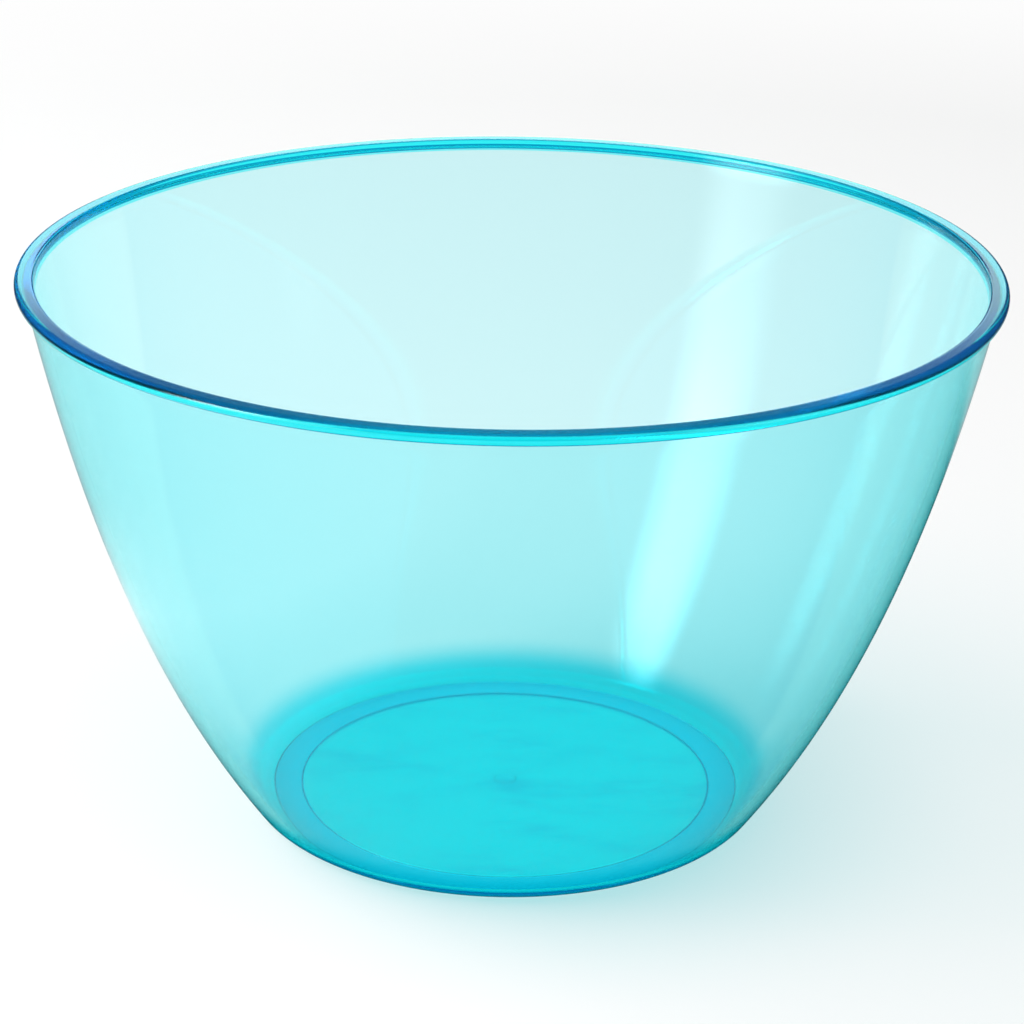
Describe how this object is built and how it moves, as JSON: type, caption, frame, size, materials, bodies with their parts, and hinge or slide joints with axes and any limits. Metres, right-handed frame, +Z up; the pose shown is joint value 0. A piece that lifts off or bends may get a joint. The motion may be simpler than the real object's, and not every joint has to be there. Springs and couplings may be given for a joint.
{
  "type": "serving bowl",
  "caption": "Round serving bowl in clear tinted plastic, moulded in one piece, with a curved flaring wall, a rounded bead at the rim and a flat recessed foot.",
  "frame": {"origin": "centre of the foot, on the surface that the bowl stands on", "axes": "+Z up along the bowl's axis, out of its mouth; X and Y are alike, because the bowl is round"},
  "size_m": [0.26, 0.26, 0.152],
  "materials": {
    "tinted_clear_plastic": "clear aqua tint through the thickness, polished inside and out"
  },
  "bodies": {
    "root": {"bowl": "tinted_clear_plastic"}
  },
  "joints": []
}
